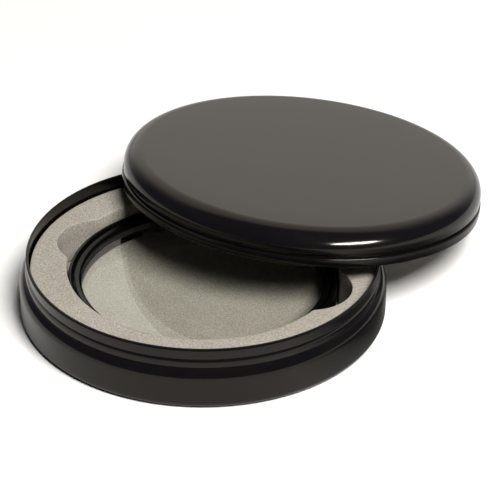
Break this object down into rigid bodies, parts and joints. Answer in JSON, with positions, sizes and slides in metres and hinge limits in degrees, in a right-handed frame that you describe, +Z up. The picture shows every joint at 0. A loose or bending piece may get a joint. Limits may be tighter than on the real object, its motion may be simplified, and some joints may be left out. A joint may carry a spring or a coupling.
{
  "type": "cased barlow lens",
  "caption": "Negative (barlow-type) lens in a black threaded cell, seated in the foam nest of a round black metal case whose push-on lid leans on the open base.",
  "frame": {"origin": "centre of the base's flat underside, where it stands on the table", "axes": "+Z up along the axis of the base and of the lens; the lid leans on the rim and slopes down towards +X +Y; -Y is the front"},
  "size_m": [0.1458, 0.1604, 0.034],
  "materials": {
    "case_black": "satin",
    "cell_black": "satin",
    "foam": "matte",
    "glass": "polished",
    "nylon": "matte"
  },
  "bodies": {
    "case": {"base_shell": "case_black", "floor_pad": "foam", "foam_nest": "foam"},
    "lid": {"lid_shell": "case_black", "lid_pad": "foam"},
    "lens": {"cell_ring": "cell_black", "front_element": "glass", "rear_element": "glass", "slip_ring": "nylon"},
    "lock_ring": {"retaining_ring": "cell_black"}
  },
  "joints": [
    {"name": "lid_lift", "type": "slide", "parent": "case", "child": "lid", "axis": [0, 0, 1], "range_m": [0, 0.06]},
    {"name": "lens_lift", "type": "slide", "parent": "case", "child": "lens", "axis": [0, 0, 1], "range_m": [0, 0.009]},
    {"name": "retaining_ring_turn", "type": "hinge", "parent": "lens", "child": "lock_ring", "pos_m": [0, 0, 0.0104], "axis": [0, 0, 1], "range_deg": [0, 720]}
  ]
}
